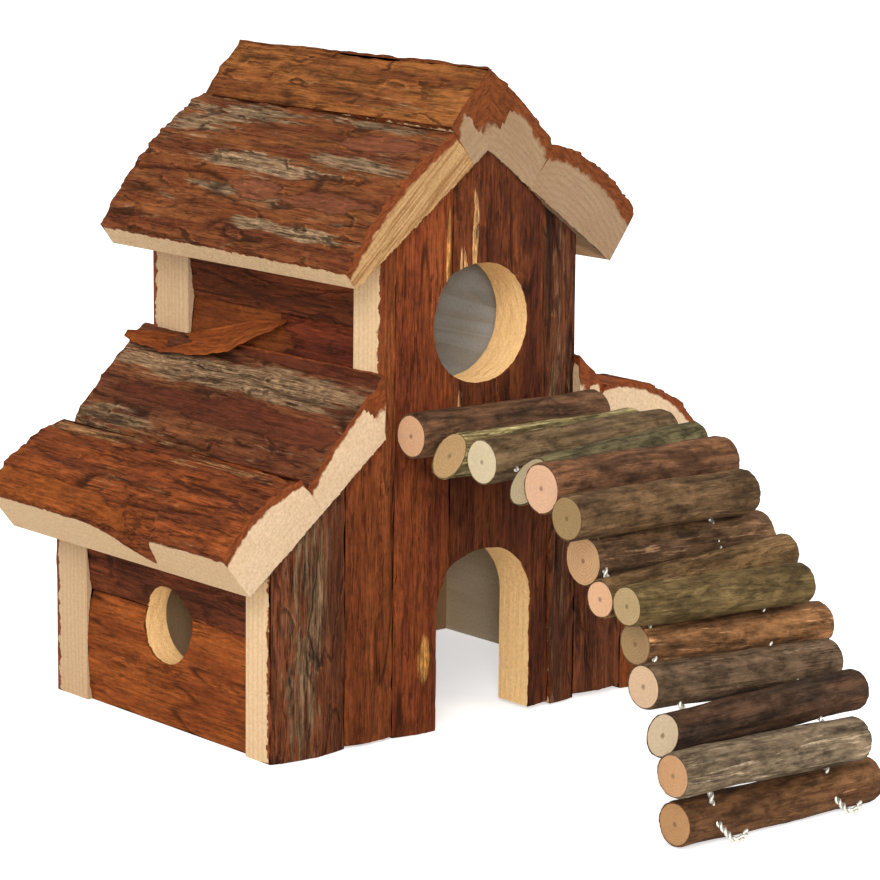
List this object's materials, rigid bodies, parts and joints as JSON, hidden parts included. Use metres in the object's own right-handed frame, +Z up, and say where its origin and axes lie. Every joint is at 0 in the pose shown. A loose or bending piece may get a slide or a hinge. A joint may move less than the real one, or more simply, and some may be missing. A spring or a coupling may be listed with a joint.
{
  "type": "rodent house",
  "caption": "Two-storey half-log rodent house with bark roofs, an arched door, round windows and a bendable ladder of natural rungs",
  "frame": {"origin": "middle of the whole footprint, on the ground", "axes": "+Z up, +X to the right as seen from the front, the ladder and the door face -Y"},
  "size_m": [0.2528, 0.3302, 0.2527],
  "materials": {
    "slab": "half-log boards with bark outside and pale sawn wood inside",
    "floor": "planed pale board",
    "stick": "natural hazel-like sticks in their bark",
    "wire": "zinc-plated wire"
  },
  "bodies": {
    "house": {"front_board_1": "slab", "front_board_2": "slab", "front_board_3": "slab", "front_board_4": "slab", "front_board_5": "slab", "front_board_6": "slab", "front_board_7": "slab", "rear_board_1": "slab", "rear_board_2": "slab", "rear_board_3": "slab", "rear_board_4": "slab", "rear_board_5": "slab", "rear_board_6": "slab", "left_wing_lower_board": "slab", "left_wing_upper_board": "slab", "right_wing_lower_board": "slab", "right_wing_upper_board": "slab", "left_tower_lower_board": "slab", "left_tower_upper_board": "slab", "right_tower_lower_board": "slab", "right_tower_upper_board": "slab", "upper_floor_board": "floor", "tower_roof_left_slab_1": "slab", "tower_roof_left_slab_2": "slab", "wing_roof_left_slab_1": "slab", "wing_roof_left_slab_2": "slab", "tower_roof_right_slab_1": "slab", "tower_roof_right_slab_2": "slab", "wing_roof_right_slab_1": "slab", "wing_roof_right_slab_2": "slab", "ladder_wire_left": "wire", "ladder_wire_right": "wire", "front_wall_brads": "wire", "rear_wall_brads": "wire", "roof_brads": "wire", "wire_staples": "wire"},
    "ladder_rung_01": {"ladder_rung_01": "stick"},
    "ladder_rung_02": {"ladder_rung_02": "stick"},
    "ladder_rung_03": {"ladder_rung_03": "stick"},
    "ladder_rung_04": {"ladder_rung_04": "stick"},
    "ladder_rung_05": {"ladder_rung_05": "stick"},
    "ladder_rung_06": {"ladder_rung_06": "stick"},
    "ladder_rung_07": {"ladder_rung_07": "stick"},
    "ladder_rung_08": {"ladder_rung_08": "stick"},
    "ladder_rung_09": {"ladder_rung_09": "stick"},
    "ladder_rung_10": {"ladder_rung_10": "stick"},
    "ladder_rung_11": {"ladder_rung_11": "stick"},
    "ladder_rung_12": {"ladder_rung_12": "stick"},
    "ladder_rung_13": {"ladder_rung_13": "stick"},
    "ladder_rung_14": {"ladder_rung_14": "stick"}
  },
  "joints": [
    {"name": "bend_01", "type": "hinge", "parent": "house", "child": "ladder_rung_01", "pos_m": [0, 0.01144, 0.12], "axis": [1, 0, 0], "range_deg": [-12, 6], "deforming": ["ladder_wire_left", "ladder_wire_right"]},
    {"name": "bend_02", "type": "hinge", "parent": "ladder_rung_01", "child": "ladder_rung_02", "pos_m": [-0.00077, -0.00678, 0.11774], "axis": [1, -0.0044, 0], "range_deg": [-12, 6], "deforming": ["ladder_wire_left", "ladder_wire_right"]},
    {"name": "bend_03", "type": "hinge", "parent": "ladder_rung_02", "child": "ladder_rung_03", "pos_m": [-0.00154, -0.02437, 0.11589], "axis": [1, -0.0044, 0], "range_deg": [-12, 6], "deforming": ["ladder_wire_left", "ladder_wire_right"]},
    {"name": "bend_04", "type": "hinge", "parent": "ladder_rung_03", "child": "ladder_rung_04", "pos_m": [-0.00231, -0.04375, 0.11442], "axis": [0.9995, 0.0085, 0.0317], "range_deg": [-12, 6], "deforming": ["ladder_wire_left", "ladder_wire_right"]},
    {"name": "bend_05", "type": "hinge", "parent": "ladder_rung_04", "child": "ladder_rung_05", "pos_m": [-0.00308, -0.06162, 0.11281], "axis": [0.9996, 0.0131, 0.025], "range_deg": [-12, 6], "deforming": ["ladder_wire_left", "ladder_wire_right"]},
    {"name": "bend_06", "type": "hinge", "parent": "ladder_rung_05", "child": "ladder_rung_06", "pos_m": [-0.00385, -0.0815, 0.10869], "axis": [0.9998, 0, -0.0218], "range_deg": [-12, 6], "deforming": ["ladder_wire_left", "ladder_wire_right"]},
    {"name": "bend_07", "type": "hinge", "parent": "ladder_rung_06", "child": "ladder_rung_07", "pos_m": [-0.00462, -0.08743, 0.09602], "axis": [0.9998, -0.0005, -0.022], "range_deg": [-12, 6], "deforming": ["ladder_wire_left", "ladder_wire_right"]},
    {"name": "bend_08", "type": "hinge", "parent": "ladder_rung_07", "child": "ladder_rung_08", "pos_m": [-0.00539, -0.09471, 0.08284], "axis": [0.9998, 0.0121, 0.0162], "range_deg": [-12, 6], "deforming": ["ladder_wire_left", "ladder_wire_right"]},
    {"name": "bend_09", "type": "hinge", "parent": "ladder_rung_08", "child": "ladder_rung_09", "pos_m": [-0.00615, -0.11141, 0.07881], "axis": [0.9999, 0.0129, -0.0075], "range_deg": [-12, 6], "deforming": ["ladder_wire_left", "ladder_wire_right"]},
    {"name": "bend_10", "type": "hinge", "parent": "ladder_rung_09", "child": "ladder_rung_10", "pos_m": [-0.00692, -0.11788, 0.06928], "axis": [0.9981, 0.0002, -0.061], "range_deg": [-12, 6], "deforming": ["ladder_wire_left", "ladder_wire_right"]},
    {"name": "bend_11", "type": "hinge", "parent": "ladder_rung_10", "child": "ladder_rung_11", "pos_m": [-0.00769, -0.12288, 0.05576], "axis": [0.9984, -0.0044, -0.0567], "range_deg": [-12, 6], "deforming": ["ladder_wire_left", "ladder_wire_right"]},
    {"name": "bend_12", "type": "hinge", "parent": "ladder_rung_11", "child": "ladder_rung_12", "pos_m": [-0.00846, -0.13731, 0.04494], "axis": [0.9996, -0.0177, -0.0216], "range_deg": [-12, 6], "deforming": ["ladder_wire_left", "ladder_wire_right"]},
    {"name": "bend_13", "type": "hinge", "parent": "ladder_rung_12", "child": "ladder_rung_13", "pos_m": [-0.00923, -0.15019, 0.03325], "axis": [0.9998, -0.0179, -0.0083], "range_deg": [-12, 6], "deforming": ["ladder_wire_left", "ladder_wire_right"]},
    {"name": "bend_14", "type": "hinge", "parent": "ladder_rung_13", "child": "ladder_rung_14", "pos_m": [-0.01, -0.15407, 0.01752], "axis": [0.9999, -0.0044, -0.0131], "range_deg": [-12, 6], "deforming": ["ladder_wire_left", "ladder_wire_right"]}
  ]
}
